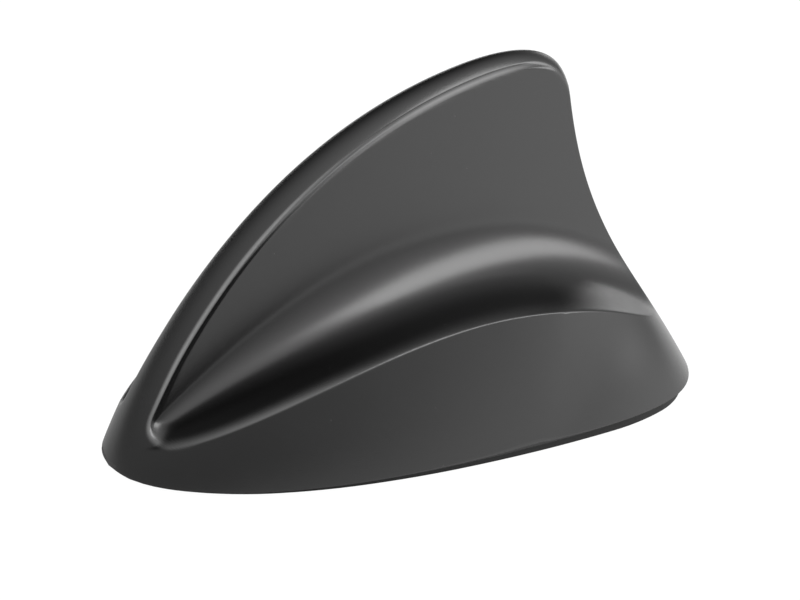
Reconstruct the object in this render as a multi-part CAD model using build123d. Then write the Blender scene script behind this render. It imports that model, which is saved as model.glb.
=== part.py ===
from build123d import *
from math import atan2, cos, degrees, radians, sin, tan
import os

# Shark fin roof aerial. Millimetres, nose towards -X, tail towards +X, roof plane at z = 0.
# Stations along the fin are measured from the nose, heights from the roof.

# Cover, side outline
cover_length = 140.0
edge_nose = 1.0             # lower edge above the roof, at the nose
edge_tail = 3.4             # lower edge above the roof, at the tail
nose_rake = 67.8            # degrees from the roof
nose_reach = 21.6           # how far the outline keeps that direction
crown_front_station = 89.8
crown_front_height = 82.1
crown_slope = 10.8
crown_reach = 55.7
crown_round_front = 11.7
crown_round_rear = 10.8
crown_rear_station = 114.5
crown_rear_height = 72.9
trail_rake = 4.6            # degrees from upright
trail_reach = 33.0
tail_rake = 25.5
tail_reach = 25.9

# Cover, cross sections in planes that fan out from a line below the roof
fan_station = 89.7
fan_depth = 6.0
fan_start = 3.0             # where a section starts, from the fan line
fan_half_width = 38.7
side_draft = 13.3
fullness_angles = (0, 40, 75, 110, 150, 180)
fullness_values = (0.59, 0.62, 0.63, 0.60, 0.82, 0.82)
section_counts = (1, 7, 4, 6, 1)
plan_steps = 20             # points along each side of a flat layer's plan

# Scoops in both sides
crease_stations = (7.0, 28.0, 49.0, 91.0, 115.0, 133.0)
crease_heights = (8.6, 17.7, 25.4, 31.6, 25.7, 16.1)
crease_steps = 8
crease_lead_in = 8.0        # how far the scoop's sections run past the tip
crease_run_out = 25.0       # how far they run past the tail
ledge_fall = 12.0
sweep_radius_tip = 2.0
sweep_radius = 12.5
panel_half = 4.1            # half the blade, at the tip's station and the panel's middle height
panel_middle = 45.0
panel_flare = 0.8
panel_draft = 2.5
rim_inset_nose = 1.5
rim_inset_crown = 1.5
rim_half = 5.5              # half width across the spine where the rim has that inset
rim_slope = 1.2             # how much the pocket's wall leans, as a share of its depth
rim_floor = 3.0             # half width at which the pocket's wall starts
rim_mouth = 9.0             # half width at which the wall becomes square
rim_exit_run = 2.7          # where the rim leaves through the trailing edge
rim_exit_drop = 6.9
rim_exit_rake = 75.0
rim_round_front = 12.5
rim_round_rear = 19.0
scoop_out = 60.0            # far side of the scoop's sections
scoop_top = 110.0

# Walls and levels
wall = 2.4
fit_gap = 0.25              # between the cover and what lies inside it
lip_inset = 1.5             # how far the seal's lip stands back from the cover's edge
pad_thickness = 0.9         # seal below the base plate
plate_thickness = 3.0
rib_height = 4.0            # ribs of the base plate that carry the board
rib_length = 6.0
rib_width = 31.0
board_thickness = 1.6

# Roof fixing: threaded bush in the base plate
bush_station = 75.0
bush_radius = 5.0
bush_bore_radius = 2.5
bush_length = 8.0
bush_mouth_chamfer = 0.5
tower_radius = 8.0
tower_cap = 1.4             # metal left above the bush
ring_radius = 11.0
ring_hole_radius = 6.5
ring_thickness = 0.6
ring_slots = 8
ring_slot_width = 1.2
ring_slot_depth = 2.4
ring_gap = 0.5              # between the ring and the seal around it

# Cable outlet
outlet_station = 97.0
outlet_length = 16.0
outlet_width = 9.0
grommet_drop = 0.7          # how far the grommet stands out below the base plate
socket_spacing = 7.0
socket_radius = 2.2
socket_bore_radius = 1.6
socket_pin_radius = 0.4
socket_roof = 1.2
socket_end = 0.4            # height of its open end above the roof

# Screws
cover_screw_stations = (18.0, 128.0)
cover_screw_radius = 1.45
cover_screw_head_radius = 2.9   # to the corners of the hexagon
cover_screw_head_height = 1.8
cover_screw_length = 11.0
cover_screw_hole_radius = 1.7
cover_boss_radius = 3.2
board_screw_stations = (53.0, 113.0)
board_screw_offset = 13.0
board_screw_radius = 1.2
board_screw_head_radius = 2.3
board_screw_head_height = 1.5
board_screw_length = 5.0

# Boards
board_front = 25.0
board_rear = 120.0
board_half = 17.0
board_nose_half = 11.5
board_taper_end = 48.0
board_corner_radius = 3.0
can_station = 56.5
can_length = 13.0
can_width = 20.0
can_height = 3.6
can_sheet = 0.3
fin_board_thickness = 1.0
fin_board_front = 65.0
fin_board_rear = 116.0
fin_board_gap = 2.0         # between the fin board and the cover above it
fin_board_foot = 12.4
radiator_thickness = 0.15
radiator_margin = 3.0
radiator_foot = 22.0
radiator_slot_width = 1.6
radiator_slot_heights = (34.0, 46.0, 58.0)
radiator_bridge = 4.0       # copper left at the end of each slot
bracket_front = 86.0
bracket_rear = 110.0
bracket_width = 8.0
bracket_height = 6.0
foam_front = 92.0
foam_rear = 104.0
foam_width = 2.4

# Satellite patch
patch_station = 36.0
patch_size = 18.0
patch_height = 4.0
patch_pad_thickness = 0.5
patch_pad_margin = 0.5
electrode_size = 14.0
electrode_thickness = 0.2
electrode_corner = 1.6
pin_offset = 1.8
pin_radius = 0.5
pin_hole_radius = 0.6
pin_head = 0.3              # solder above the electrode
pin_tail = 1.0

# Worked out from the above
nose_x = -cover_length / 2
pivot = Vector(nose_x + fan_station, 0, -fan_depth)
plate_top = pad_thickness + plate_thickness
board_bottom = plate_top + rib_height
board_top = board_bottom + board_thickness
bottom_align = (Align.CENTER, Align.CENTER, Align.MIN)


# Small helpers
def side_point(station, height):
    """Point of the middle plane, from its station and height."""
    return Vector(nose_x + station, 0, height)


def direction(angle):
    """Unit vector in the middle plane, at an angle above the tailward direction."""
    return Vector(cos(radians(angle)), 0, sin(radians(angle)))


def inward(tangent):
    """Normal of the side outline that points into the fin."""
    return Vector(tangent.Z, 0, -tangent.X)


def post(station, offset, low, high, radius):
    """Upright cylinder between two heights."""
    return Pos(nose_x + station, offset, low) * Cylinder(radius, high - low, align=bottom_align)


def block(front, rear, width, low, high):
    """Box between two stations and two heights, centred across the fin."""
    middle = (front + rear) / 2
    return Pos(nose_x + middle, 0, low) * Box(rear - front, width, high - low, align=bottom_align)


def slot_post(station, length, width, low, high):
    """Upright prism with round ends, lengthwise along the fin."""
    face = Pos(nose_x + station, 0, low) * SlotOverall(length, width)
    return extrude(face, high - low)


def hexagon_screw(station, offset, head_low, head_high, shank_end, head_radius, radius):
    """Screw with a hexagon head, shank upwards or downwards from the head's face."""
    hexagon = Pos(nose_x + station, offset, head_low) * RegularPolygon(head_radius, 6)
    head = extrude(hexagon, head_high - head_low)
    if shank_end > head_high:
        return head + post(station, offset, head_high, shank_end, radius)
    return head + post(station, offset, shank_end, head_low, radius)


# Envelope of the cover
def side_outline():
    """Outline from below the nose, over the crown and down to below the tail."""
    nose = side_point(0, edge_nose)
    front = side_point(crown_front_station, crown_front_height)
    rear = side_point(crown_rear_station, crown_rear_height)
    tail = side_point(cover_length, edge_tail)
    rising = direction(nose_rake)
    along = direction(crown_slope)
    falling = direction(trail_rake - 90)
    leaving = direction(tail_rake - 90)
    nose_foot = nose - rising * ((fan_depth + edge_nose) / rising.Z)
    tail_foot = tail - leaving * ((fan_depth + edge_tail) / leaving.Z)
    return (
        Line(nose_foot, nose),
        Bezier(nose, nose + rising * nose_reach, front - along * crown_reach, front),
        Bezier(front, front + along * crown_round_front, rear - falling * crown_round_rear, rear),
        Bezier(rear, rear + falling * trail_reach, tail - leaving * tail_reach, tail),
        Line(tail, tail_foot),
    )


def fullness_at(angle):
    """How far a section's handles reach towards its corner, by the angle of its plane."""
    pairs = list(zip(fullness_angles, fullness_values))
    for (low, low_value), (high, high_value) in zip(pairs, pairs[1:]):
        if angle <= high:
            share = max(0.0, (angle - low) / (high - low))
            return low_value + (high_value - low_value) * share
    return fullness_values[-1]


def fan_section(apex, inset):
    """Closed section in the plane through the fan line and one apex point."""
    ray = apex - pivot
    reach = ray.length
    unit = ray.normalized()
    lean = max(unit.Z, 0.0) * tan(radians(side_draft))
    full = fullness_at(degrees(atan2(unit.Z, -unit.X)))
    half = fan_half_width - inset
    corner_half = half - lean * reach
    foot_half = half - lean * fan_start
    handle = fan_start + (reach - fan_start) * full
    handle_half = foot_half + (corner_half - foot_half) * full

    def spot(distance, offset):
        return pivot + unit * distance + Vector(0, offset, 0)

    near = Bezier(spot(fan_start, -foot_half), spot(handle, -handle_half),
                  spot(reach, -corner_half * full), apex)
    far = Bezier(apex, spot(reach, corner_half * full),
                 spot(handle, handle_half), spot(fan_start, foot_half))
    foot = Line(spot(fan_start, foot_half), spot(fan_start, -foot_half))
    return Wire([near, far, foot])


def fan_body(inset):
    """The fin's smooth envelope, shrunk by a distance, reaching below the roof plane."""
    outline = side_outline()
    places = [(edge, step / count) for edge, count in zip(outline, section_counts) for step in range(count)]
    places.append((outline[-1], 1.0))
    wires = []
    for edge, share in places:
        apex = edge.position_at(share) + inward(edge.tangent_at(share)) * inset
        wires.append(fan_section(apex, inset))
    return Solid.make_loft(wires)


def half_width(body, spot):
    """Half the body's width on the line across it through one point, or 0 where that misses it."""
    hits = body.find_intersection_points(Axis(spot, (0, -1, 0)))
    return max([-point.Y for point, _ in hits], default=0.0)


def plan_layer(inset, level, low, high):
    """Upright layer between two heights, with the envelope's plan at one level."""
    body = fan_body(inset)
    box = section(body, section_by=Plane.XY.offset(level)).bounding_box()
    shares = [(1 - cos(radians(180 * step / plan_steps))) / 2 for step in range(1, plan_steps)]
    stations = [box.min.X + box.size.X * share for share in shares]
    near = [(x, -half_width(body, Vector(x, 0, level))) for x in stations]
    far = [(x, -y) for x, y in reversed(near)]
    spots = [(box.min.X, 0), *near, (box.max.X, 0), *far, (box.min.X, 0)]
    arcs = [ThreePointArc(*spots[first:first + 3]) for first in range(0, len(spots) - 2, 2)]
    return extrude(Pos(0, 0, low) * make_face(arcs), high - low)


def lower_edge_space(side):
    """All space above (1) or below (-1) the cover's lower edge, which rises a little to the tail."""
    pitch = (edge_tail - edge_nose) / cover_length
    plane = Plane(side_point(0, edge_nose), x_dir=(1, 0, pitch), z_dir=(-pitch, 0, 1))
    size = 3 * cover_length
    return plane * Pos(0, 0, side * size / 2) * Box(size, size, size)


# Scoops
def scoop_section(spot, half, radius, grow):
    """Section of a scoop at one station: sloping ledge, concave sweep and blade panel.

    Where the scoop is grown, inside the cover, a flat that touches the sweep's middle stands in for it.
    """
    fall = tan(radians(ledge_fall))
    draft = tan(radians(panel_draft))
    run = spot.X - nose_x - crease_stations[0]
    panel = panel_half + run * tan(radians(panel_flare)) - grow
    ledge = spot.Z - grow
    # The panel is y = panel + (middle - z) draft, and the ledge z = ledge + (half - y) fall.
    corner_y = (panel + (panel_middle - ledge - half * fall) * draft) / (1 - fall * draft)
    corner_z = ledge + (half - corner_y) * fall
    top_y = panel + (panel_middle - scoop_top) * draft
    out_z = ledge + (half - scoop_out) * fall
    start = Vector(spot.X, -scoop_out, out_z)
    corner = Vector(spot.X, -corner_y, corner_z)
    end = Vector(spot.X, -top_y, scoop_top)
    if grow:
        turn = 90 - ledge_fall - panel_draft
        flat = (radius + grow) * (tan(radians(turn / 2)) - tan(radians(turn / 4)))
        low_end = corner + (start - corner).normalized() * flat
        high_end = corner + (end - corner).normalized() * flat
        bent = Polyline(start, low_end, high_end, end)
    else:
        bent = FilletPolyline(start, corner, end, radius=radius)
    back = Polyline(end, (spot.X, -scoop_out, scoop_top), start)
    return Wire([*bent.edges(), *back.edges()])


def scoop_sections_body(envelope, grow):
    """Everything outside one side's ledge, sweep and panel, grown inwards by a distance."""
    crease = Spline(*[side_point(*spot) for spot in zip(crease_stations, crease_heights)])
    places = [(crease.position_at(0) - crease.tangent_at(0) * crease_lead_in, 0.0)]
    places += [(crease.position_at(step / crease_steps), step / crease_steps)
               for step in range(crease_steps + 1)]
    places.append((crease.position_at(1) + crease.tangent_at(1) * crease_run_out, 1.0))
    wires = []
    for spot, share in places:
        growth = sin(radians(min(90.0, 180.0 * share)))
        radius = sweep_radius_tip + (sweep_radius - sweep_radius_tip) * growth
        wires.append(scoop_section(spot, half_width(envelope, spot), radius, grow))
    return Solid.make_loft(wires)


def rim_wire(offset, extra):
    """Side view of a scoop below its rim, in the plane at one distance from the middle."""
    rising = direction(nose_rake)
    along = direction(crown_slope)
    leaving = direction(-rim_exit_rake)
    nose = side_point(0, edge_nose) + inward(rising) * (rim_inset_nose + extra)
    front = side_point(crown_front_station, crown_front_height) + inward(along) * (rim_inset_crown + extra)
    exit_point = side_point(crown_rear_station + rim_exit_run, crown_rear_height - rim_exit_drop)
    foot = nose - rising * (fan_depth + crown_front_height / 4)
    far = cover_length + crease_run_out
    lead = Bezier(nose, nose + rising * nose_reach, front - along * crown_reach, front)
    corner = Bezier(front, front + along * rim_round_front,
                    exit_point - leaving * rim_round_rear, exit_point)
    rest = Polyline(exit_point, side_point(far, exit_point.Z), side_point(far, foot.Z), foot, nose)
    return Pos(0, -offset, 0) * Wire([lead, corner, *rest.edges()])


def rim_body(grow):
    """Side region of one scoop, with a wall that leans outwards from the panel to the rim."""
    floor_wire = rim_wire(rim_floor, (rim_half - rim_floor) * rim_slope - grow)
    mouth_wire = rim_wire(rim_mouth, (rim_half - rim_mouth) * rim_slope - grow)
    leaning = Solid.make_loft([floor_wire, mouth_wire], ruled=True)
    square = extrude(Face(mouth_wire), scoop_out - rim_mouth, dir=(0, -1, 0))
    return leaning + square


def scoops(envelope, grow):
    """Both scoops, near and far."""
    near = scoop_sections_body(envelope, grow) & rim_body(grow)
    return near, mirror(near, Plane.XZ)


# Pieces of the housing
def fin_cover(envelope, cavity):
    """Moulded shell with scooped sides, and a boss for each of its screws."""
    outside = envelope & lower_edge_space(1)
    near, far = scoops(envelope, 0)
    shell = outside - near - far - cavity
    hole_end = pad_thickness + cover_screw_head_height + cover_screw_length
    for station in cover_screw_stations:
        shell += post(station, 0, plate_top, plate_top + crown_front_height, cover_boss_radius) & cavity
        shell -= post(station, 0, plate_top, hole_end, cover_screw_radius)
    return shell


def roof_seal():
    """Rubber pad with a lip that follows the cover's lower edge."""
    seal = plan_layer(lip_inset, edge_tail, 0, 2 * edge_tail) & lower_edge_space(-1)
    seal -= plan_layer(wall + fit_gap, plate_top, pad_thickness, 2 * edge_tail)
    seal -= post(bush_station, 0, 0, pad_thickness, ring_radius + ring_gap)
    return seal - slot_post(outlet_station, outlet_length + 2 * fit_gap, outlet_width + 2 * fit_gap,
                            0, pad_thickness)


def base_plate():
    """Die-cast plate with a tower for the threaded bush, two ribs and the cable outlet."""
    tower_top = pad_thickness + bush_length + tower_cap
    plate = plan_layer(wall + fit_gap, plate_top, pad_thickness, plate_top)
    plate += post(bush_station, 0, pad_thickness, tower_top, tower_radius)
    for station, offset in board_screw_places():
        front = station - rib_length / 2
        plate += block(front, front + rib_length, rib_width, plate_top, board_bottom)
        plate -= post(station, offset, board_top - board_screw_length, board_bottom, board_screw_radius)
    plate -= post(bush_station, 0, pad_thickness, pad_thickness + bush_length, bush_radius)
    plate -= slot_post(outlet_station, outlet_length, outlet_width, pad_thickness, plate_top)
    head_top = pad_thickness + cover_screw_head_height
    for station in cover_screw_stations:
        plate -= post(station, 0, pad_thickness, head_top, cover_screw_head_radius + fit_gap)
        plate -= post(station, 0, head_top, plate_top, cover_screw_hole_radius)
    return plate


def cover_screws():
    """Two tapping screws, driven up through the plate into the cover's bosses."""
    head_top = pad_thickness + cover_screw_head_height
    return Compound(children=[
        hexagon_screw(station, 0, pad_thickness, head_top, head_top + cover_screw_length,
                      cover_screw_head_radius, cover_screw_radius)
        for station in cover_screw_stations])


def threaded_bush():
    """Steel bush pressed into the tower, for the bolt from below the roof."""
    bush = post(bush_station, 0, pad_thickness, pad_thickness + bush_length, bush_radius)
    bush -= post(bush_station, 0, pad_thickness, pad_thickness + bush_length, bush_bore_radius)
    mouth = bush.edges().filter_by(GeomType.CIRCLE).group_by(Axis.Z)[0].sort_by(SortBy.RADIUS)[0]
    return chamfer(mouth, bush_mouth_chamfer)


def ground_ring():
    """Slotted spring ring that earths the plate to the roof."""
    low = pad_thickness - ring_thickness
    ring = post(bush_station, 0, low, pad_thickness, ring_radius)
    ring -= post(bush_station, 0, low, pad_thickness, ring_hole_radius)
    tooth_gap = Box(ring_slot_depth, ring_slot_width, 2 * pad_thickness)
    slot = Pos(ring_radius - ring_slot_depth / 2, 0, 0) * tooth_gap
    for index in range(ring_slots):
        turn = Pos(nose_x + bush_station, 0, pad_thickness) * Rot(0, 0, 360 * index / ring_slots)
        ring -= turn * slot
    return ring


# Cable outlet
def socket_places():
    """Stations of the two coaxial sockets."""
    return outlet_station - socket_spacing / 2, outlet_station + socket_spacing / 2


def cable_grommet():
    """Rubber plug in the outlet, with a hole for each socket."""
    low = pad_thickness - grommet_drop
    grommet = slot_post(outlet_station, outlet_length, outlet_width, low, plate_top)
    for station in socket_places():
        grommet -= post(station, 0, low, plate_top, socket_radius)
    return grommet


def coax_socket(station):
    """Barrel below the board, with a middle pin, open downwards."""
    roof = board_bottom - socket_roof
    socket = post(station, 0, socket_end, board_bottom, socket_radius)
    socket -= post(station, 0, socket_end, roof, socket_bore_radius)
    return socket + post(station, 0, socket_end + socket_bore_radius, roof, socket_pin_radius)


# Boards
def board_screw_places():
    """Station and offset of the two screws that hold the main board, at opposite corners."""
    return list(zip(board_screw_stations, (-board_screw_offset, board_screw_offset)))


def main_board():
    """Circuit board on the plate's ribs, cut out round the tower."""
    corners = ((board_front, -board_nose_half), (board_taper_end, -board_half), (board_rear, -board_half),
               (board_rear, board_half), (board_taper_end, board_half), (board_front, board_nose_half))
    outline = Polyline(*[(nose_x + station, offset) for station, offset in corners], close=True)
    face = fillet(make_face(outline).vertices(), board_corner_radius)
    board = extrude(Pos(0, 0, board_bottom) * face, board_thickness)
    board -= post(bush_station, 0, board_bottom, board_top, tower_radius + fit_gap)
    board -= post(patch_station, pin_offset, board_bottom, board_top, pin_hole_radius)
    for station, offset in board_screw_places():
        board -= post(station, offset, board_bottom, board_top, board_screw_radius)
    return board


def board_screws():
    """Two small screws into the ribs."""
    return Compound(children=[
        hexagon_screw(station, offset, board_top, board_top + board_screw_head_height,
                      board_top - board_screw_length, board_screw_head_radius, board_screw_radius)
        for station, offset in board_screw_places()])


def shield_can():
    """Drawn tin lid over the amplifier, open below."""
    front = can_station - can_length / 2
    rear = can_station + can_length / 2
    can = block(front, rear, can_width, board_top, board_top + can_height)
    return can - block(front + can_sheet, rear - can_sheet, can_width - 2 * can_sheet,
                       board_top, board_top + can_height - can_sheet)


def fin_board_sheet(margin, near, far, foot):
    """Upright sheet that follows the fin's outline, between two distances from the middle."""
    sheet = fan_body(wall + fin_board_gap + margin)
    middle = nose_x + (fin_board_front + fin_board_rear) / 2
    length = fin_board_rear - fin_board_front - 2 * margin
    window = Box(length, far - near, cover_length, align=bottom_align)
    return sheet & Pos(middle, (near + far) / 2, foot) * window


def fin_board():
    """Upright circuit board inside the blade."""
    half = fin_board_thickness / 2
    return fin_board_sheet(0, -half, half, fin_board_foot)


def fin_radiator():
    """Copper on the fin board, slotted from both ends in turn."""
    near = -fin_board_thickness / 2 - radiator_thickness
    copper = fin_board_sheet(radiator_margin, near, -fin_board_thickness / 2, radiator_foot)
    box = copper.bounding_box()
    for index, height in enumerate(radiator_slot_heights):
        cut = Box(box.size.X, fin_board_thickness, radiator_slot_width)
        shift = radiator_bridge if index % 2 else -radiator_bridge
        level = copper & Pos(box.center().X, near, height) * cut
        copper -= Pos(level.bounding_box().center().X + shift, near, height) * Box(
            level.bounding_box().size.X, fin_board_thickness, radiator_slot_width)
    return copper


def fin_bracket():
    """Moulded shoe that holds the fin board upright on the main board."""
    shoe = block(bracket_front, bracket_rear, bracket_width, board_top, board_top + bracket_height)
    return shoe - block(bracket_front, bracket_rear, fin_board_thickness, fin_board_foot,
                        board_top + bracket_height)


def foam_pad():
    """Soft pad between the top of the fin board and the cover."""
    pad = fan_body(wall + fit_gap) & block(foam_front, foam_rear, foam_width, panel_middle, scoop_top)
    return pad - fan_body(wall + fin_board_gap)


# Satellite patch
def patch_levels():
    """Heights of the patch's underside, top and electrode."""
    low = board_top + patch_pad_thickness
    return low, low + patch_height, low + patch_height + electrode_thickness


def patch_square(size, low, high):
    """Square block at the patch's station."""
    return block(patch_station - size / 2, patch_station + size / 2, size, low, high)


def patch_pieces():
    """Sticky pad, ceramic block, silver electrode and feed pin of the satellite patch."""
    low, top, plate = patch_levels()
    pad = patch_square(patch_size - 2 * patch_pad_margin, board_top, low)
    ceramic = patch_square(patch_size, low, top)
    electrode = patch_square(electrode_size, top, plate)
    corners = electrode.edges().filter_by(Axis.Z).sort_by(SortBy.DISTANCE)
    electrode = chamfer([corners[0], corners[-1]], electrode_corner)
    hole = post(patch_station, pin_offset, board_top, plate, pin_hole_radius)
    pin = post(patch_station, pin_offset, board_bottom - pin_tail, plate + pin_head, pin_radius)
    return {
        "patch_pad": pad - hole,
        "patch_ceramic": ceramic - hole,
        "patch_electrode": electrode - hole,
        "patch_pin": pin,
    }


def all_pieces():
    """Every piece, by its name."""
    envelope = fan_body(0)
    near, far = scoops(envelope, wall)
    cavity = fan_body(wall) - near - far
    front_socket, rear_socket = socket_places()
    return {
        "fin_cover": fin_cover(envelope, cavity),
        "roof_seal": roof_seal(),
        "base_plate": base_plate(),
        "cover_screws": cover_screws(),
        "threaded_bush": threaded_bush(),
        "ground_ring": ground_ring(),
        "cable_grommet": cable_grommet(),
        "coax_socket_front": coax_socket(front_socket),
        "coax_socket_rear": coax_socket(rear_socket),
        "main_board": main_board(),
        "board_screws": board_screws(),
        "shield_can": shield_can(),
        "fin_board": fin_board(),
        "fin_radiator": fin_radiator(),
        "fin_bracket": fin_bracket(),
        "foam_pad": foam_pad(),
        **patch_pieces(),
    }


os.makedirs("parts", exist_ok=True)
for name, piece in all_pieces().items():
    export_step(piece, f"parts/{name}.step")
    print(f"{name}: {piece.volume:.1f} cubic mm")
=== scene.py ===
# %% [markdown]
# # A shark fin roof aerial
#
# The aerial is a moulded black cover on a rubber seal. Its sides are scooped out, so that a thin blade
# stands on a wide skirt, and light slides over the hollow from the ledge to the blade.
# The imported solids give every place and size. This lesson gives the cover its soft edges, gives every
# piece its finish, and sets up the floor, the light and the camera of the photograph.

# %% Load the frame
import math
import bpy
import numpy as np
from mathutils import Matrix, Vector


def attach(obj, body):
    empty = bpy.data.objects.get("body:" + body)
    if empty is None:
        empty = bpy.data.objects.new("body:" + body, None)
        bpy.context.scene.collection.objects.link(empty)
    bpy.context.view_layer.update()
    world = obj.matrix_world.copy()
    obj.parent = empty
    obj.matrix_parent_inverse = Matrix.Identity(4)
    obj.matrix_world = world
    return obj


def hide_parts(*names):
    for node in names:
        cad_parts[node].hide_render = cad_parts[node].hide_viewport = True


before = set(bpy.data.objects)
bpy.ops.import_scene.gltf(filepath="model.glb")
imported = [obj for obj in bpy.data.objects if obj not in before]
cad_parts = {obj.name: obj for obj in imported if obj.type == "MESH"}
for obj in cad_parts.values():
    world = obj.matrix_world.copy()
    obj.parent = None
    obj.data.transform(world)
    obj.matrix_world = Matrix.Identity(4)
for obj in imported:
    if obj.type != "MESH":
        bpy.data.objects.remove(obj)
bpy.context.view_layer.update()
print("pieces from the solids:", len(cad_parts))

# %% [markdown]
# ## The camera
#
# A product photograph of a small thing is taken from a distance with a long lens, so lines stay nearly
# parallel. The viewing direction and the distance were measured from the photograph's outlines. The lens
# follows from how many pixels one radian covers in a picture 800 pixels wide.

# %% Camera
VIEW_TURN = math.radians(-25.85)
VIEW_TILT = math.radians(28.18)
VIEW_DISTANCE = 1.4311
VIEW_TARGET = np.array([0.00311, 0.0, 0.02625])
PIXELS_PER_RADIAN = 6266.9

view_direction = np.array([
    math.sin(VIEW_TURN) * math.cos(VIEW_TILT),
    -math.cos(VIEW_TURN) * math.cos(VIEW_TILT),
    math.sin(VIEW_TILT),
])
camera_data = bpy.data.cameras.new("camera")
camera_data.sensor_width = 36.0
camera_data.lens = 36.0 * PIXELS_PER_RADIAN / 800.0
camera_data.clip_end = 20.0
camera = bpy.data.objects.new("camera", camera_data)
bpy.context.collection.objects.link(camera)
camera.location = VIEW_TARGET + VIEW_DISTANCE * view_direction
camera.rotation_euler = (math.pi / 2 - VIEW_TILT, 0.0, VIEW_TURN)
bpy.context.scene.camera = camera
print("lens of the camera, mm:", round(camera_data.lens, 1))

# %% [markdown]
# ## The cover's envelope
#
# Before it is scooped out, the cover is a smooth fin. It is described by planes that fan out, like the
# pages of a book, from a line across the car just below the roof. In each page the section is one cubic
# Bezier curve, from the foot of the skirt to the outline of the fin. A page is named by its angle: 0 points
# at the nose, 90 straight up, 180 at the tail. All sizes here are millimetres, from the nose and the roof.

# %% Side outline
NOSE_X = -70.0
FAN_STATION, FAN_DEPTH, FAN_START = 89.7, 6.0, 3.0
EDGE_NOSE, EDGE_TAIL, COVER_LENGTH = 1.0, 3.4, 140.0


def towards(angle):
    """Unit vector (along, up) at an angle in degrees above the tailward direction."""
    return np.array([math.cos(math.radians(angle)), math.sin(math.radians(angle))])


def bezier_curve(a, b, c, d, count):
    """Points of a cubic Bezier: each end weighs with a cube, each handle with three times a mixed product."""
    t = np.linspace(0.0, 1.0, count)[:, None]
    return (1 - t) ** 3 * a + 3 * (1 - t) ** 2 * t * b + 3 * (1 - t) * t ** 2 * c + t ** 3 * d


NOSE = np.array([0.0, EDGE_NOSE])
CROWN_FRONT = np.array([89.8, 82.1])
CROWN_REAR = np.array([114.5, 72.9])
TAIL = np.array([COVER_LENGTH, EDGE_TAIL])
RISING, ALONG, FALLING, LEAVING = towards(67.8), towards(10.8), towards(4.6 - 90), towards(25.5 - 90)
NOSE_HANDLE, FRONT_HANDLE, TOP_HANDLE = 21.6, 55.7, 11.7
CORNER_HANDLE, BACK_HANDLE, TAIL_HANDLE = 10.8, 33.0, 25.9

side_outline = np.concatenate([
    [NOSE - RISING * (FAN_DEPTH + EDGE_NOSE) / RISING[1]],
    bezier_curve(NOSE, NOSE + NOSE_HANDLE * RISING, CROWN_FRONT - FRONT_HANDLE * ALONG, CROWN_FRONT, 300),
    bezier_curve(CROWN_FRONT, CROWN_FRONT + TOP_HANDLE * ALONG,
                 CROWN_REAR - CORNER_HANDLE * FALLING, CROWN_REAR, 120)[1:],
    bezier_curve(CROWN_REAR, CROWN_REAR + BACK_HANDLE * FALLING, TAIL - TAIL_HANDLE * LEAVING, TAIL, 200)[1:],
    [TAIL - LEAVING * (FAN_DEPTH + EDGE_TAIL) / LEAVING[1]],
])


def fan_place(station, height):
    """Angle of the page through a point of the side view, and the distance from the fan line."""
    back, up = FAN_STATION - station, height + FAN_DEPTH
    return np.degrees(np.arctan2(up, back)), np.hypot(back, up)


def fan_point(angle, distance):
    """Station and height of the point at a distance along one page."""
    return (FAN_STATION - distance * np.cos(np.radians(angle)),
            distance * np.sin(np.radians(angle)) - FAN_DEPTH)


outline_angle, outline_reach = fan_place(*side_outline.T)


def reach_at(angle):
    """Distance from the fan line to the outline, in the page at an angle."""
    return np.interp(angle, outline_angle, outline_reach)


print("top of the outline, mm:", round(float(side_outline[:, 1].max()), 2))

# %% Sections of the envelope
HALF_WIDTH = 38.7
SIDE_DRAFT = math.tan(math.radians(13.3))
page_table = np.linspace(0.0, 180.0, 1441)


def smooth_by_page(places, values, reach):
    """Table over all pages: straight lines between the values, then a weighted mean over nearby pages."""
    offsets = np.linspace(-reach, reach, 61)
    weights = 1 - np.abs(offsets) / (1.02 * reach)
    return np.interp(page_table[:, None] + offsets, places, values) @ weights / weights.sum()


fullness_table = smooth_by_page((0, 40, 75, 110, 150, 180), (0.59, 0.62, 0.63, 0.60, 0.82, 0.82), 15.0)
skirt_table = smooth_by_page(outline_angle, outline_reach, 26.0)


def section_handles(angle):
    """The four control points of a page's curve, as distances and half widths.

    The skirt leans in by the draft. The handles reach a share, the fullness, of the way to the corner in
    which the leaning side and the outline would meet. The outline counts here as the mean of nearby pages.
    """
    reach = np.interp(angle, page_table, skirt_table)
    full = np.interp(angle, page_table, fullness_table)
    lean = np.sin(np.radians(angle)) * SIDE_DRAFT
    corner, foot = HALF_WIDTH - lean * reach, HALF_WIDTH - lean * FAN_START
    start = np.full_like(reach, FAN_START)
    distances = start, start + (reach - start) * full, reach, reach
    halves = foot, foot + (corner - foot) * full, corner * full, np.zeros_like(reach)
    return distances, halves


def cubic(points, t):
    """Value of a cubic Bezier with four control values at a share of the way."""
    a, b, c, d = points
    return (1 - t) ** 3 * a + 3 * (1 - t) ** 2 * t * b + 3 * (1 - t) * t ** 2 * c + t ** 3 * d


def envelope_half(angle, distance):
    """Half width of the envelope: the share of the curve is halved in until its distance is right.

    Distances are first stretched, with the fourth power of their share, so that the true outline falls on the
    mean one. That keeps the crown's corner crisp on top and leaves no kink in the skirt below it.
    """
    angle, distance = np.broadcast_arrays(np.asarray(angle, float), np.asarray(distance, float))
    distances, halves = section_handles(angle)
    share = np.minimum(distance / reach_at(angle), 1.0)
    distance = distance * (1 + (distances[3] / reach_at(angle) - 1) * share ** 4)
    low, high = np.zeros(angle.shape), np.ones(angle.shape)
    for _ in range(40):
        middle = (low + high) / 2
        short = cubic(distances, middle) < distance
        low, high = np.where(short, middle, low), np.where(short, high, middle)
    return cubic(halves, (low + high) / 2)


print("half width over the middle of the roof edge, mm:", round(float(envelope_half(90.0, 8.0)), 2))

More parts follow.
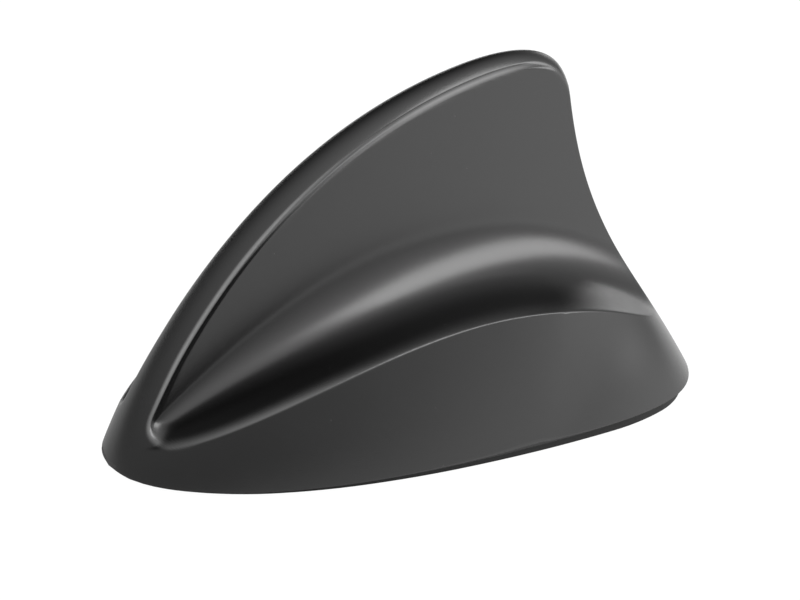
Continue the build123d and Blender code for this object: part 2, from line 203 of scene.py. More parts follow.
# %% [markdown]
# ## The scoops
#
# Each side is hollowed by a tool with a J-shaped section: a ledge that falls a little outwards, a wide
# concave sweep, and the nearly upright panel of the blade. The outer end of the ledge is the crease, which
# arches from a hairpin near the nose to the tail. A rim keeps a rounded spine along the top: the wall under
# it leans, and rounds off into the panel.

# %% Ledge, sweep and panel
CREASE_STATIONS = np.array([7.0, 28.0, 49.0, 91.0, 115.0, 133.0])
CREASE_HEIGHTS = np.array([8.6, 17.7, 25.4, 31.6, 25.7, 16.1])
LEDGE_FALL = math.tan(math.radians(12.0))
PANEL_DRAFT = math.tan(math.radians(2.5))
PANEL_FLARE = math.tan(math.radians(0.8))
PANEL_HALF, PANEL_MIDDLE = 4.1, 45.0
SWEEP_AT_NOSE, SWEEP_GROWTH = 2.0, 10.5
LEDGE_FADE = 0.15


def natural_spline(knots, values, places):
    """Cubic spline through the values with straight ends: second slopes from one linear system."""
    gaps, count = np.diff(knots), len(knots)
    system, right = np.eye(count), np.zeros(count)
    inner = np.arange(1, count - 1)
    system[inner, inner - 1] = gaps[:-1]
    system[inner, inner] = 2 * (gaps[:-1] + gaps[1:])
    system[inner, inner + 1] = gaps[1:]
    right[inner] = 6 * np.diff(np.diff(values) / gaps)
    bend = np.linalg.solve(system, right)
    span = np.clip(np.searchsorted(knots, places) - 1, 0, count - 2)
    h, a, b = gaps[span], knots[span + 1] - places, places - knots[span]
    inside = (bend[span] * a ** 3 + bend[span + 1] * b ** 3) / (6 * h)
    inside += (values[span] / h - bend[span] * h / 6) * a
    inside += (values[span + 1] / h - bend[span + 1] * h / 6) * b
    first = (values[1] - values[0]) / gaps[0] - gaps[0] * bend[1] / 6
    last = (values[-1] - values[-2]) / gaps[-1] + gaps[-1] * bend[-2] / 6
    before = values[0] + first * (places - knots[0])
    after = values[-1] + last * (places - knots[-1])
    return np.where(places < knots[0], before, np.where(places > knots[-1], after, inside))


crease_table = np.linspace(-5.0, 150.0, 1200)
crease_height_table = natural_spline(CREASE_STATIONS, CREASE_HEIGHTS, crease_table)
crease_half_table = envelope_half(*fan_place(crease_table, crease_height_table))


def scoop_half(station, height):
    """Half width left by the scoop's tool (ledge, arc of the sweep, panel), and a share that is one on the
    ledge, where the shade is painted.

    Across the fin the ledge is a straight line through the crease, the panel another, and the sweep is
    the circle that touches both. Its centre comes from the two distance equations.
    """
    crease = np.interp(station, crease_table, crease_height_table)
    crease_half = np.interp(station, crease_table, crease_half_table)
    share = np.clip((station - CREASE_STATIONS[0]) / (CREASE_STATIONS[-1] - CREASE_STATIONS[0]), 0.0, 0.5)
    radius = SWEEP_AT_NOSE + SWEEP_GROWTH * np.sin(np.pi * share)
    panel = PANEL_HALF + (station - CREASE_STATIONS[0]) * PANEL_FLARE + PANEL_MIDDLE * PANEL_DRAFT
    level = crease + crease_half * LEDGE_FALL
    ledge_norm, panel_norm = math.hypot(1, LEDGE_FALL), math.hypot(1, PANEL_DRAFT)
    centre_half = panel + radius * panel_norm - (level + radius * ledge_norm) * PANEL_DRAFT
    centre_half = centre_half / (1 - LEDGE_FALL * PANEL_DRAFT)
    centre_height = level - centre_half * LEDGE_FALL + radius * ledge_norm
    ledge_end = centre_height - radius / ledge_norm
    panel_end = centre_height - radius * PANEL_DRAFT / panel_norm
    arc = centre_half - np.sqrt(np.maximum(radius ** 2 - (height - centre_height) ** 2, 0.0))
    ledge = (level - height) / LEDGE_FALL
    straight = panel - height * PANEL_DRAFT
    half = np.where(height < ledge_end, ledge, np.where(height < panel_end, arc, straight))
    return half, np.clip(0.5 - (height - ledge_end) / (LEDGE_FADE * radius), 0.0, 1.0)


print("highest point of the crease, mm:", round(float(crease_height_table.max()), 2))

# %% Rim
RIM_PROBE = 1.5
rim_inset = smooth_by_page((8, 24, 46, 58, 77, 96, 101, 104, 107, 112),
                           (1.3, 1.0, 1.1, 1.25, 1.35, 1.45, 1.2, 0.5, -0.8, -4.0), 4.0)
rim_slope = smooth_by_page((15, 30, 50, 65, 80, 100), (1.2, 1.3, 1.4, 1.5, 1.6, 1.6), 8.0)
outline_slant = np.gradient(outline_reach, np.radians(outline_angle)) / outline_reach
rim_lean = np.interp(page_table, outline_angle, np.cos(np.arctan(outline_slant)))
rim_distance = reach_at(page_table) - np.maximum(rim_inset, 0.0) / rim_lean
rim_rise = envelope_half(page_table, rim_distance - RIM_PROBE / rim_lean)
rim_rise = rim_rise - envelope_half(page_table, rim_distance)
rim_steepness = rim_rise / RIM_PROBE + 1 / rim_slope


def rim_depth(angle, distance):
    """Depth below the rim, which is a line on the envelope at an inset from the outline."""
    below = (reach_at(angle) - distance) * np.interp(angle, page_table, rim_lean)
    return below - np.interp(angle, page_table, rim_inset)


print("steepest wall under the rim, half width per depth:", round(float(rim_steepness.max()), 2))

# %% [markdown]
# ## Soft edges
#
# A moulded cover has no sharp edges. A bevel modifier would need clean edge loops, and the radius here
# changes along the rim, so the surfaces are blended as numbers instead: where two half widths are nearly
# equal, a parabola takes the place of the corner. The same nearness tells where the edge is, and so where
# a painted highlight lightens the colour.

# %% Soft edges
CREASE_LEAN, HAIRPIN = 0.92, 6.0
TIP_STEEPNESS, TIP_SOFTNESS = 6.0, 1.5
SPINE_FLARE, SPINE_SOFTNESS, TOP_SOFTNESS = 5.0, 1.0, 2.5
# Stations over which the painted shade on the ledge dies away towards the tail.
LEDGE_SHADE_FROM, LEDGE_SHADE_TO = 122.0, 102.0
hollow_softness = smooth_by_page((15, 40, 60, 75, 100), (1.7, 1.3, 1.1, 1.2, 1.2), 8.0)
spine_half = smooth_by_page((15, 30, 45, 60, 75, 90, 100, 112),
                            (14.0, 9.0, 6.3, 5.3, 4.8, 4.5, 4.25, 4.2), 6.0)
# Painted highlight: how much light grey goes into the colour along the rim and crease, and at the foot of the
# rim's wall, by page.
painted_edge_highlight = smooth_by_page((12, 20, 50, 62, 74, 180), (0.5, 1.0, 0.9, 0.55, 0.1, 0.1), 6.0)
painted_foot_highlight = smooth_by_page((46, 66, 80, 98, 108), (0.0, 0.6, 1.0, 1.0, 0.0), 5.0)
edge_softness = smooth_by_page((15, 40, 60, 75, 100), (2.4, 2.8, 2.2, 1.3, 1.2), 8.0)


def soft_least(first, second, width):
    """The smaller of two values, rounded off by a parabola where they differ by less than a width."""
    mix = np.clip(0.5 + 0.5 * (second - first) / width, 0.0, 1.0)
    return second + (first - second) * mix - width * mix * (1 - mix)


def soft_most(first, second, width):
    """The larger of two values, rounded off in the same way."""
    return -soft_least(-first, -second, width)


def closeness(first, second, width):
    """One where two values are equal, falling to zero where they differ by a width."""
    mix = np.clip(0.5 + 0.5 * (second - first) / width, 0.0, 1.0)
    return 4 * mix * (1 - mix)


def cover_section(angle, distance):
    """Half width of the finished cover, the painted highlight on its edges, and the painted shade on its
    ledge.

    The half width is the envelope, or the scoop where that is deeper. The spine's sides stand upright. The
    wall under the rim falls away from the envelope evenly with depth. Its upper edge is rounder at the nose
    than at the crown, and the crease is crisper than the rim. At the hairpin a third wall, steep but measured
    from a rounded line, turns the sharp meeting of crease and rim into a round bend. The painted highlight
    follows the nearness of spine and tool, or of scoop and wall. The painted shade covers the ledge, fading
    at its edges and towards the tail.
    """
    station, height = fan_point(angle, distance)
    envelope = envelope_half(angle, distance)
    depth = rim_depth(angle, distance)
    above = (height - np.interp(station, crease_table, crease_height_table)) * CREASE_LEAN
    wall = envelope - depth * np.interp(angle, page_table, rim_steepness)
    tip = envelope - TIP_STEEPNESS * soft_least(above, depth, HAIRPIN)
    hollow = np.interp(angle, page_table, hollow_softness)
    edge = np.interp(angle, page_table, edge_softness)
    scoop, ledge = scoop_half(station, height)
    tool = soft_most(soft_most(scoop, wall, hollow), tip, TIP_SOFTNESS)
    upright = np.interp(angle, page_table, spine_half) + SPINE_FLARE * np.maximum(depth - 1.0, 0.0) ** 2
    near_top = TOP_SOFTNESS * envelope + 1e-6
    spine = soft_least(envelope, upright, np.minimum(SPINE_SOFTNESS, near_top))
    edge = edge * (0.6 + 0.4 * np.clip(0.5 + (above - depth) / 6.0, 0.0, 1.0))
    edge = np.minimum(edge, near_top)
    # Painted highlight: strongest where spine and tool, or scoop and wall, nearly meet.
    rimward = np.clip(0.5 + (above - depth) / 4.0, np.interp(angle, (22, 45), (0.6, 0.08)), 1.0)
    highlight_paint = rimward * np.interp(angle, page_table, painted_edge_highlight) * closeness(spine, tool, 0.75 * edge)
    foot = closeness(scoop, wall, hollow) * np.clip(depth, 0.0, 1.0) * np.clip(8.0 - depth, 0.0, 1.0)
    highlight_paint = np.maximum(highlight_paint, foot * np.interp(angle, page_table, painted_foot_highlight))
    # Painted shade: the ledge goes dark, fading at its edges and towards the tail.
    ledge_shade = ledge * np.clip(above / 0.6, 0.0, 1.0) * np.clip(depth / 2.0, 0.0, 1.0)
    ledge_shade = ledge_shade * np.clip((LEDGE_SHADE_FROM - station) / (LEDGE_SHADE_FROM - LEDGE_SHADE_TO), 0.0, 1.0)
    return np.maximum(soft_least(spine, tool, edge), 0.0), highlight_paint, ledge_shade


def cover_half(angle, distance):
    """Half width of the finished cover alone."""
    return cover_section(angle, distance)[0]


print("half width of the blade at mid height, mm:", round(float(cover_half(90.0, 56.0)), 2))

# %% [markdown]
# ## Laying a grid on the cover
#
# The grid's columns are pages of the fan, closer together at the nose and the tail where the plan turns
# quickly. Along each page the half width is first measured finely. The rows are then spread so that steps
# are short where the section bends and longer where it is straight, which keeps the crease and the rim crisp
# with a moderate number of faces. The same rows mirrored make the far side, and a plain inner skin, one wall
# thickness inside, closes the shell.

# %% Rows along each page
COLUMNS, ROWS, FINE = 380, 112, 1600
BEND_SHARE, EVEN_SHARE = 0.9, 0.15
EDGE_PITCH = (EDGE_TAIL - EDGE_NOSE) / COVER_LENGTH


def edge_distance(angle):
    """Where a page meets the plane of the cover's lower edge, which rises a little to the tail."""
    page = np.radians(angle)
    return (FAN_DEPTH + EDGE_NOSE + EDGE_PITCH * FAN_STATION) / (np.sin(page) + EDGE_PITCH * np.cos(page))


first_angle = fan_place(*NOSE)[0]
last_angle = fan_place(*TAIL)[0]
column_share = np.linspace(0.0, 1.0, COLUMNS)
eased = 0.25 * column_share + 0.75 * (1 - np.cos(np.pi * column_share)) / 2
angles = first_angle + (last_angle - first_angle) * eased
low_end = np.minimum(edge_distance(angles), reach_at(angles))
high_end = reach_at(angles)

fine_share = 1 - (1 - np.linspace(0.0, 1.0, FINE)) ** 2
fine_distance = low_end[:, None] + (high_end - low_end)[:, None] * fine_share
fine_half, fine_highlight_paint, fine_ledge_shade = cover_section(angles[:, None], fine_distance)
fine_half[:, -1] = 0.0


def smooth_along(values, radius):
    """Running mean over the second axis, with the ends repeated."""
    padded = np.pad(values, ((0, 0), (radius, radius)), mode="edge")
    total = np.cumsum(np.pad(padded, ((0, 0), (1, 0))), axis=1)
    return (total[:, 2 * radius + 1:] - total[:, :-2 * radius - 1]) / (2 * radius + 1)


step_out, step_half = np.diff(fine_distance, axis=1), np.diff(fine_half, axis=1)
step_length = np.hypot(step_out, step_half) + 1e-9
heading = np.unwrap(np.arctan2(step_half, step_out), axis=1)
turning = np.abs(np.diff(heading, axis=1, prepend=heading[:, :1]))
weight = smooth_along(step_length / step_length.sum(1, keepdims=True), 6)
weight = weight + BEND_SHARE * smooth_along(turning, 10) / (1.5 + turning.sum(1, keepdims=True))
weight = smooth_along((weight + EVEN_SHARE / (FINE - 1)).T, 4).T
travel = np.concatenate([np.zeros((COLUMNS, 1)), np.cumsum(weight, axis=1)], axis=1)
travel = travel / travel[:, -1:]
row_share = np.linspace(0.0, 1.0, ROWS)
column_index = np.arange(COLUMNS)
flat_travel = (travel + 2.0 * column_index[:, None]).ravel()
flat_wanted = (row_share[None, :] + 2.0 * column_index[:, None]).ravel()


def at_rows(fine_values):
    """Finely measured values read off at the rows of every page, by straight lines over the travel."""
    return np.interp(flat_wanted, flat_travel, fine_values.ravel()).reshape(COLUMNS, ROWS)


row_distance, row_half = at_rows(fine_distance), at_rows(fine_half)
# The painted highlight, read off at the rows after smoothing.
row_highlight_paint = at_rows(smooth_along(smooth_along(fine_highlight_paint, 6).T, 1).T)
# The painted shade on the ledge, read off at the rows after smoothing along the page.
row_ledge_shade = at_rows(smooth_along(fine_ledge_shade, 6))
print("rows and columns of one side:", ROWS, COLUMNS)

# %% Lining
LINING_ROWS, PROBES, WALL = 14, 16, 2.4
TOP_WALL = WALL * 1.4


def fin_points(angle, distance, half):
    """Points in metres from page angle, distance along the page and signed half width."""
    station, height = fan_point(angle, distance)
    return np.stack([station + NOSE_X, half, height], axis=-1) / 1000.0


lining_high = np.maximum(high_end - TOP_WALL, FAN_START)
lining_low = np.minimum(low_end, lining_high)
lining_share = np.linspace(0.0, 1.0, LINING_ROWS)
lining_distance = lining_low[:, None] + (lining_high - lining_low)[:, None] * lining_share
probe_share = np.linspace(0.0, 1.0, (LINING_ROWS - 1) * PROBES)
probe_distance = lining_low[:, None] + (lining_high - lining_low)[:, None] * probe_share
probe_half = cover_half(angles[:, None], probe_distance)
probe_half = probe_half.reshape(COLUMNS, LINING_ROWS - 1, PROBES).min(axis=2)
lining_half = np.minimum(np.pad(probe_half, ((0, 0), (1, 0)), mode="edge"),
                         np.pad(probe_half, ((0, 0), (0, 1)), mode="edge"))
lining_half = np.clip(lining_half - WALL, 0.0, None)
lining_half = lining_half * np.sqrt(np.clip((1 - lining_share) * 6.0, 0.0, 1.0))

print("widest half width of the lining, mm:", round(float(lining_half.max()), 2))

# %% Cover mesh
page = angles[:, None]
loop = np.concatenate([
    fin_points(page, row_distance, -row_half),
    fin_points(page, row_distance[:, ::-1], row_half[:, ::-1])[:, 1:],
    fin_points(page, lining_distance, lining_half),
    fin_points(page, lining_distance[:, ::-1], -lining_half[:, ::-1])[:, 1:],
], axis=1)


def closed_rows_mesh(name, points):
    """Mesh from a grid of points whose rows close on themselves: each face joins four neighbours."""
    columns, rows = points.shape[:2]
    index = np.arange(columns * rows).reshape(columns, rows)
    near, far = index[:-1], index[1:]
    faces = np.stack([near, far, np.roll(far, -1, 1), np.roll(near, -1, 1)], axis=-1).reshape(-1, 4)
    mesh = bpy.data.meshes.new(name)
    mesh.from_pydata(points.reshape(-1, 3), [], faces)
    mesh.validate()
    mesh.update()
    return mesh


cover_mesh = closed_rows_mesh("moulded_cover", loop)
cover_mesh.polygons.foreach_set("use_smooth", np.ones(len(cover_mesh.polygons), bool))
# Two values per point: the painted highlight on the edges and the painted shade on the ledge; the lining gets
# none.
for title, rows in (("painted_edge_highlight", row_highlight_paint), ("painted_ledge_shade", row_ledge_shade)):
    values = np.concatenate([rows, rows[:, -2::-1], np.zeros((COLUMNS, 2 * LINING_ROWS - 1))], axis=1)
    layer = cover_mesh.attributes.new(title, "FLOAT", "POINT")
    layer.data.foreach_set("value", values.ravel().astype(np.float32))
cover = bpy.data.objects.new("moulded_cover", cover_mesh)
bpy.context.collection.objects.link(cover)
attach(cover, "root")
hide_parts("fin_cover")
print("faces of the cover:", len(cover_mesh.polygons))

# %% [markdown]
# ## Finishes
#
# The cover is pigmented plastic from a mould with a fine spark-eroded surface. It has no paint: it is almost
# black, and what is seen is mostly soft reflection, so its gloss is set somewhat above that of real plastic.
# The grain is too fine to see as bumps but breaks up the gloss, so it goes into bump and roughness from
# noise in the object's own coordinates. The rim, the crease and the foot of the rim's wall carry a painted
# highlight, and the ledge a painted shade that makes it a black band. On the real object these are
# reflections of a room that isn't known. Here the mesh carries them as two values per point: one mixes in a
# lighter grey, the painted highlight. The other, the painted shade, blends towards a black metal, which
# mirrors less than plastic does.

# %% Grain group
def node(tree, kind, x, y):
    """New shader node at a place in the editor."""
    made = tree.nodes.new(kind)
    made.location = (x, y)
    return made


def grain_group():
    """Node group: fine noise for bump, broad noise for colour and roughness, and sparse specks of dust."""
    group = bpy.data.node_groups.new("moulded_grain", "ShaderNodeTree")
    colour_socket = group.interface.new_socket("Colour", in_out="INPUT", socket_type="NodeSocketColor")
    colour_socket.default_value = (0.5, 0.5, 0.5, 1.0)
    for title, value in (("Variation", 0.1), ("Dust", 0.1), ("Grain per metre", 5000.0), ("Depth", 0.00001),
                         ("Roughness", 0.4), ("Spread", 0.06)):
        socket = group.interface.new_socket(title, in_out="INPUT", socket_type="NodeSocketFloat")
        socket.default_value = value
    group.interface.new_socket("Colour", in_out="OUTPUT", socket_type="NodeSocketColor")
    group.interface.new_socket("Roughness", in_out="OUTPUT", socket_type="NodeSocketFloat")
    group.interface.new_socket("Normal", in_out="OUTPUT", socket_type="NodeSocketVector")
    start, end = node(group, "NodeGroupInput", -900, 0), node(group, "NodeGroupOutput", 900, 0)
    place = node(group, "ShaderNodeTexCoord", -900, 300)
    fine = node(group, "ShaderNodeTexNoise", -600, 200)
    fine.inputs["Detail"].default_value = 2.0
    broad = node(group, "ShaderNodeTexNoise", -600, -200)
    broad.inputs["Scale"].default_value = 90.0
    broad.inputs["Detail"].default_value = 4.0
    specks = node(group, "ShaderNodeTexVoronoi", -600, -500)
    specks.inputs["Scale"].default_value = 330.0
    bump = node(group, "ShaderNodeBump", 200, 200)
    bump.inputs["Strength"].default_value = 1.0
    link = group.links.new

    def maths(operation, first, second, x, y, third=None):
        step = node(group, "ShaderNodeMath", x, y)
        step.operation = operation
        for slot, value in enumerate((first, second, third)):
            if isinstance(value, (int, float)):
                step.inputs[slot].default_value = value
            elif value is not None:
                link(value, step.inputs[slot])
        return step.outputs[0]

    for texture in (fine, broad, specks):
        link(place.outputs["Object"], texture.inputs["Vector"])
    link(start.outputs["Grain per metre"], fine.inputs["Scale"])
    link(fine.outputs["Fac"], bump.inputs["Height"])
    link(start.outputs["Depth"], bump.inputs["Distance"])
    centred = maths("SUBTRACT", broad.outputs["Fac"], 0.5, -350, -200)
    rough = maths("MULTIPLY_ADD", centred, start.outputs["Spread"], -100, -100, start.outputs["Roughness"])
    shade = maths("MULTIPLY_ADD", centred, start.outputs["Variation"], -100, -300, 1.0)
    parts = node(group, "ShaderNodeSeparateColor", -350, -650)
    link(specks.outputs["Color"], parts.inputs[0])
    chosen = maths("GREATER_THAN", parts.outputs[0], 0.8, -100, -650)
    close = maths("LESS_THAN", specks.outputs["Distance"], 0.05, -100, -500)
    settled = maths("MULTIPLY", maths("MULTIPLY", chosen, close, 100, -550), start.outputs["Dust"], 300, -550)
    shaded = node(group, "ShaderNodeVectorMath", 100, -250)
    shaded.operation = "SCALE"
    link(start.outputs["Colour"], shaded.inputs[0])
    link(shade, shaded.inputs["Scale"])
    dusty = node(group, "ShaderNodeMix", 500, -300)
    dusty.data_type = "RGBA"
    dusty.inputs[7].default_value = (0.35, 0.34, 0.32, 1.0)
    link(settled, dusty.inputs[0])
    link(shaded.outputs[0], dusty.inputs[6])
    link(dusty.outputs[2], end.inputs["Colour"])
    link(rough, end.inputs["Roughness"])
    link(bump.outputs["Normal"], end.inputs["Normal"])
    return group


moulded_grain = grain_group()
print("nodes in the grain group:", len(moulded_grain.nodes))


# %% Recipe of a finish
def finish(name, colour, metal, roughness, grain, depth, spread, specular=0.5, variation=0.25, dust=0.08):
    """Material: a colour with its small changes and dust, and grain on roughness and normal."""
    material = bpy.data.materials.new(name)
    material.use_nodes = True
    tree = material.node_tree
    shader = tree.nodes["Principled BSDF"]
    shader.inputs["Metallic"].default_value = metal
    shader.inputs["Specular IOR Level"].default_value = specular
    grained = node(tree, "ShaderNodeGroup", -300, 0)
    grained.name = "grained"
    grained.node_tree = moulded_grain
    grained.inputs["Colour"].default_value = (*colour, 1.0)
    for title, value in (("Variation", variation), ("Dust", dust), ("Grain per metre", grain),
                         ("Depth", depth), ("Roughness", roughness), ("Spread", spread)):
        grained.inputs[title].default_value = value
    tree.links.new(grained.outputs["Colour"], shader.inputs["Base Color"])
    tree.links.new(grained.outputs["Roughness"], shader.inputs["Roughness"])
    tree.links.new(grained.outputs["Normal"], shader.inputs["Normal"])
    return material


# %% Finish of the cover
# The grey is a painted highlight for the edges; the metal share makes a painted shade on the ledge.
PLASTIC_BLACK, HIGHLIGHT_GREY, LEDGE_SHADE_METAL = (0.003, 0.003, 0.0031), (0.3, 0.3, 0.3), 0.85
satin_black = finish("satin_black_plastic", PLASTIC_BLACK, metal=0.0, roughness=0.26, grain=4200.0,
                     depth=0.00002, spread=0.05, specular=1.0, variation=0.3, dust=0.12)
tree = satin_black.node_tree
tree.nodes["Principled BSDF"].inputs["IOR"].default_value = 1.6
# Painted highlight: a value per point mixes a light grey into the black along the rim, the crease and the
# wall's foot.
edges = node(tree, "ShaderNodeAttribute", -900, 0)
edges.attribute_name = "painted_edge_highlight"
highlight_mix = node(tree, "ShaderNodeMix", -600, 0)
highlight_mix.data_type = "RGBA"
highlight_mix.inputs[6].default_value = (*PLASTIC_BLACK, 1.0)
highlight_mix.inputs[7].default_value = (*HIGHLIGHT_GREY, 1.0)
tree.links.new(edges.outputs["Fac"], highlight_mix.inputs[0])
tree.links.new(highlight_mix.outputs[2], tree.nodes["grained"].inputs["Colour"])
# Painted shade: a value per point turns the ledge towards black metal, so that it mirrors less and reads as a
# black band.
ledge_shade = node(tree, "ShaderNodeAttribute", -900, -300)
ledge_shade.attribute_name = "painted_ledge_shade"
shade_metal = node(tree, "ShaderNodeMath", -600, -300)
shade_metal.operation = "MULTIPLY"
shade_metal.inputs[1].default_value = LEDGE_SHADE_METAL
tree.links.new(ledge_shade.outputs["Fac"], shade_metal.inputs[0])
tree.links.new(shade_metal.outputs[0], tree.nodes["Principled BSDF"].inputs["Metallic"])
cover_mesh.materials.append(satin_black)
print("nodes in the cover's finish:", len(tree.nodes))

# %% Finishes of the other pieces
finishes = {
    "roof_seal": finish("seal_rubber", (0.018, 0.018, 0.018), 0.0, 0.62, 2500.0, 0.00003, 0.1),
    "cable_grommet": finish("grommet_rubber", (0.02, 0.02, 0.021), 0.0, 0.6, 2500.0, 0.00003, 0.1),
    "base_plate": finish("die_cast_metal", (0.6, 0.6, 0.61), 1.0, 0.5, 1800.0, 0.00004, 0.15),
    "cover_screws": finish("screw_steel", (0.55, 0.55, 0.56), 1.0, 0.35, 3000.0, 0.00001, 0.1),
    "board_screws": finish("small_screw_steel", (0.6, 0.6, 0.6), 1.0, 0.35, 3000.0, 0.00001, 0.1),
    "threaded_bush": finish("turned_brass", (0.72, 0.53, 0.25), 1.0, 0.32, 3000.0, 0.00001, 0.1),
    "ground_ring": finish("spring_steel", (0.66, 0.66, 0.67), 1.0, 0.3, 3000.0, 0.00001, 0.1),
    "coax_socket_front": finish("blue_socket", (0.03, 0.09, 0.35), 0.0, 0.4, 4000.0, 0.00001, 0.06),
    "coax_socket_rear": finish("violet_socket", (0.3, 0.06, 0.22), 0.0, 0.4, 4000.0, 0.00001, 0.06),
    "main_board": finish("board_resin", (0.02, 0.14, 0.05), 0.0, 0.45, 3500.0, 0.00002, 0.1),
    "fin_board": finish("fin_board_resin", (0.02, 0.14, 0.05), 0.0, 0.45, 3500.0, 0.00002, 0.1),
    "shield_can": finish("tinned_sheet", (0.72, 0.72, 0.72), 1.0, 0.38, 2000.0, 0.00001, 0.12),
    "fin_radiator": finish("etched_copper", (0.8, 0.42, 0.25), 1.0, 0.4, 3000.0, 0.00001, 0.12),
    "fin_bracket": finish("pale_nylon", (0.7, 0.7, 0.66), 0.0, 0.5, 3000.0, 0.00002, 0.08),
    "foam_pad": finish("grey_foam", (0.06, 0.06, 0.06), 0.0, 0.9, 1200.0, 0.0002, 0.1),
    "patch_pad": finish("sticky_foam", (0.08, 0.08, 0.08), 0.0, 0.85, 1200.0, 0.0001, 0.1),
    "patch_ceramic": finish("patch_ceramic_body", (0.62, 0.52, 0.38), 0.0, 0.55, 2500.0, 0.00003, 0.1),
    "patch_electrode": finish("fired_silver", (0.8, 0.8, 0.78), 1.0, 0.45, 2500.0, 0.00002, 0.12),
    "patch_pin": finish("feed_pin_metal", (0.75, 0.75, 0.74), 1.0, 0.3, 3000.0, 0.00001, 0.1),
    "fin_cover": satin_black,
}
for name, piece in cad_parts.items():
    piece.data.materials.clear()
    piece.data.materials.append(finishes[name])
print("finishes:", len(set(m.name for m in finishes.values())))

# %% [markdown]
# ## Floor and light
#
# The photograph is a studio shot on white. A white table top carries the object, and the near panels mirror
# it. Camera and mirror rays see the table as plain white, with a share of its lit surface left in, so that
# it keeps the object's shadow. For mirror rays the white is painted darker towards the left: a painted
# fall-off of light on the table, which the panels and the skirt reflect. One long soft lamp reaches from
# overhead down to the right, and lights the sweep of the hollow. A small one stands behind on the right.
# The room around is mostly dim: six soft bright sides lift the crown, the nose and the skirt where the
# photograph shows them light. The camera itself sees it white. Seen from below, the table is clear, so
# that the underside shows.

# %% Table
TABLE_Z, TABLE_COLOUR, TABLE_WHITE, WHITE_SHARE = -0.0001, (0.85, 0.85, 0.85), 1.1, 0.9
# Painted fall-off of light: the table's white as mirrors see it runs from dim on the left to full on the
# right, along this direction.
FADE_TOWARDS, FADE_PLACES, FADE_LEVELS = (0.94, 0.34, 0.0), (-0.14, 0.06), (0.1, 1.05)
floor_mesh = bpy.data.meshes.new("table_top")
corners = [(-0.5, -1.0, TABLE_Z), (1.4, -1.0, TABLE_Z), (1.4, 1.4, TABLE_Z), (-0.5, 1.4, TABLE_Z)]
floor_mesh.from_pydata(corners, [], [(0, 1, 2, 3)])
floor = bpy.data.objects.new("table_top", floor_mesh)
bpy.context.collection.objects.link(floor)
floor_paint = bpy.data.materials.new("table_white")
floor_paint.use_nodes = True
tree = floor_paint.node_tree
tree.nodes["Principled BSDF"].inputs["Base Color"].default_value = (*TABLE_COLOUR, 1.0)
tree.nodes["Principled BSDF"].inputs["Roughness"].default_value = 0.9
white = node(tree, "ShaderNodeEmission", 0, 300)
seen = node(tree, "ShaderNodeLightPath", -600, 500)
either = node(tree, "ShaderNodeMath", -350, 500)
either.operation = "MAXIMUM"
any_of = node(tree, "ShaderNodeMath", -150, 500)
any_of.operation = "MAXIMUM"
share = node(tree, "ShaderNodeMath", 50, 500)
share.operation = "MULTIPLY"
share.inputs[1].default_value = WHITE_SHARE
where = node(tree, "ShaderNodeTexCoord", -900, 100)
across = node(tree, "ShaderNodeVectorMath", -700, 100)
across.operation = "DOT_PRODUCT"
across.inputs[1].default_value = FADE_TOWARDS
# Painted fall-off: mirror rays see the table dimmer towards the left; camera rays still see it plain white.
painted_falloff = node(tree, "ShaderNodeMapRange", -500, 100)
painted_falloff.inputs["From Min"].default_value, painted_falloff.inputs["From Max"].default_value = FADE_PLACES
painted_falloff.inputs["To Min"].default_value, painted_falloff.inputs["To Max"].default_value = FADE_LEVELS
direct = node(tree, "ShaderNodeMix", -300, 250)
direct.inputs[3].default_value = TABLE_WHITE
blend = node(tree, "ShaderNodeMixShader", 300, 200)
from_below = node(tree, "ShaderNodeMixShader", 500, 200)
side_seen = node(tree, "ShaderNodeNewGeometry", 300, 500)
clear = node(tree, "ShaderNodeBsdfTransparent", 300, 0)
for source, target in (
    (seen.outputs["Is Camera Ray"], either.inputs[0]),
    (seen.outputs["Is Glossy Ray"], either.inputs[1]),
    (either.outputs[0], any_of.inputs[0]),
    (seen.outputs["Is Transmission Ray"], any_of.inputs[1]),
    (any_of.outputs[0], share.inputs[0]),
    (share.outputs[0], blend.inputs[0]),
    (tree.nodes["Principled BSDF"].outputs[0], blend.inputs[1]),
    (where.outputs["Object"], across.inputs[0]),
    (across.outputs["Value"], painted_falloff.inputs["Value"]),
    (seen.outputs["Is Camera Ray"], direct.inputs[0]),
    (painted_falloff.outputs[0], direct.inputs[2]),
    (direct.outputs[0], white.inputs["Strength"]),
    (white.outputs[0], blend.inputs[2]),
    (side_seen.outputs["Backfacing"], from_below.inputs[0]),
    (blend.outputs[0], from_below.inputs[1]),
    (clear.outputs[0], from_below.inputs[2]),
    (from_below.outputs[0], tree.nodes["Material Output"].inputs["Surface"]),
):
    tree.links.new(source, target)
floor_mesh.materials.append(floor_paint)
print("nodes in the table's paint:", len(tree.nodes))

# %% Surroundings
world = bpy.data.worlds.new("studio")
bpy.context.scene.world = world
world.use_nodes = True
tree = world.node_tree
tree.nodes.clear()
place = node(tree, "ShaderNodeTexCoord", -1000, 0)


def bright_side(direction, power, strength, y):
    """Soft brightness around one direction: half of one plus the cosine, to a power, times a strength."""
    lean = node(tree, "ShaderNodeVectorMath", -800, y)
    lean.operation = "DOT_PRODUCT"
    lean.inputs[1].default_value = direction
    tone = node(tree, "ShaderNodeMapRange", -600, y)
    tone.inputs["From Min"].default_value = -1.0
    curve = node(tree, "ShaderNodeMath", -400, y)
    curve.operation = "POWER"
    curve.inputs[1].default_value = power
    level = node(tree, "ShaderNodeMath", -200, y)
    level.operation = "MULTIPLY"
    level.inputs[1].default_value = strength
    tree.links.new(place.outputs["Generated"], lean.inputs[0])
    tree.links.new(lean.outputs["Value"], tone.inputs["Value"])
    tree.links.new(tone.outputs[0], curve.inputs[0])
    tree.links.new(curve.outputs[0], level.inputs[0])
    return level.outputs[0]


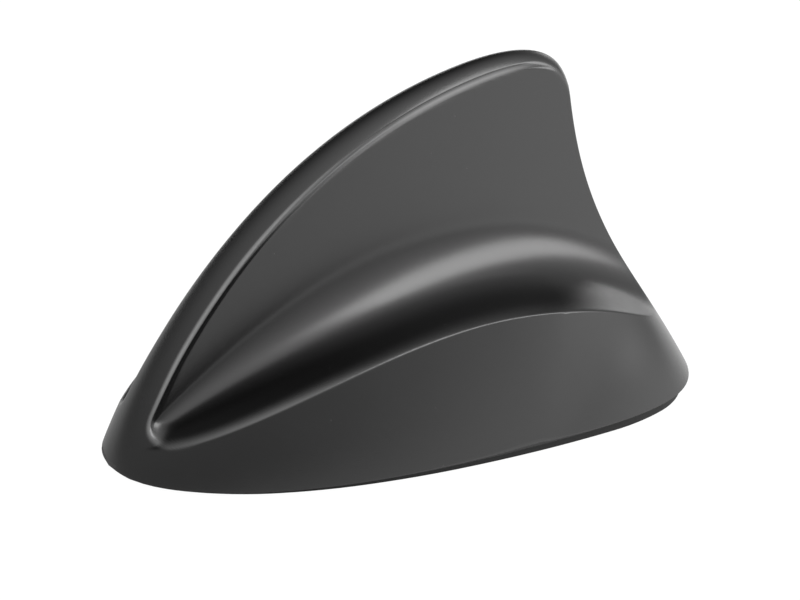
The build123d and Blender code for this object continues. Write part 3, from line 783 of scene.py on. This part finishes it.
sides = (
    ((0.0, -0.1, 0.995), 8.0, 0.9),
    ((-0.7, 0.5, 0.51), 10.0, 0.4),
    ((-0.8, -0.25, 0.54), 8.0, 0.3),
    ((-0.25, -0.75, 0.61), 8.0, 0.3),
    ((0.85, -0.5, 0.15), 5.0, 1.1),
    ((0.75, 0.64, 0.17), 50.0, 0.5),
)
WORLD_GREY = 0.8
light = node(tree, "ShaderNodeBackground", 1200, 0)
light.inputs["Color"].default_value = (WORLD_GREY, WORLD_GREY, WORLD_GREY, 1.0)
out = node(tree, "ShaderNodeOutputWorld", 1400, 0)
total = bright_side(*sides[0], 0)
for row, side in enumerate(sides[1:], 1):
    adder = node(tree, "ShaderNodeMath", 200 * row, -200 * row)
    tree.links.new(total, adder.inputs[0])
    tree.links.new(bright_side(*side, -300 * row), adder.inputs[1])
    total = adder.outputs[0]
backdrop = node(tree, "ShaderNodeMix", 1000, 0)
backdrop.inputs[3].default_value = 1.0 / WORLD_GREY
seen = node(tree, "ShaderNodeLightPath", 800, 200)
tree.links.new(seen.outputs["Is Camera Ray"], backdrop.inputs[0])
tree.links.new(total, backdrop.inputs[2])
tree.links.new(backdrop.outputs[0], light.inputs["Strength"])
tree.links.new(light.outputs[0], out.inputs["Surface"])
print("bright sides of the room:", len(sides))


# %% Lamps
def soft_lamp(name, place, aim, size, along, watts):
    """Area lamp that looks at a point, with its long side along a direction."""
    data = bpy.data.lights.new(name, "AREA")
    data.shape = "RECTANGLE"
    data.size, data.size_y = size
    data.energy = watts
    lamp = bpy.data.objects.new(name, data)
    bpy.context.collection.objects.link(lamp)
    away = Vector(place) - Vector(aim)
    away.normalize()
    first = Vector(along) - Vector(along).dot(away) * away
    first.normalize()
    turn = Matrix((first, away.cross(first), away)).transposed()
    lamp.matrix_world = Matrix.Translation(place) @ turn.to_4x4()
    return lamp


LAMP_AIM = (0.0, 0.0, 0.03)
lamps = (
    soft_lamp("lamp_over_right", (0.45, -0.43, 0.86), LAMP_AIM, (1.6, 0.6), (0.74, -0.36, -0.57), 7.0),
    soft_lamp("lamp_behind_right", (1.0, 0.85, 0.27), LAMP_AIM, (0.35, 0.35), (0.0, 0.0, 1.0), 0.4),
)
print("lamps, watts:", [round(lamp.data.energy, 1) for lamp in lamps])

# %% [markdown]
# ## View transform
#

# %% View transform
bpy.context.scene.view_settings.view_transform = "Standard"
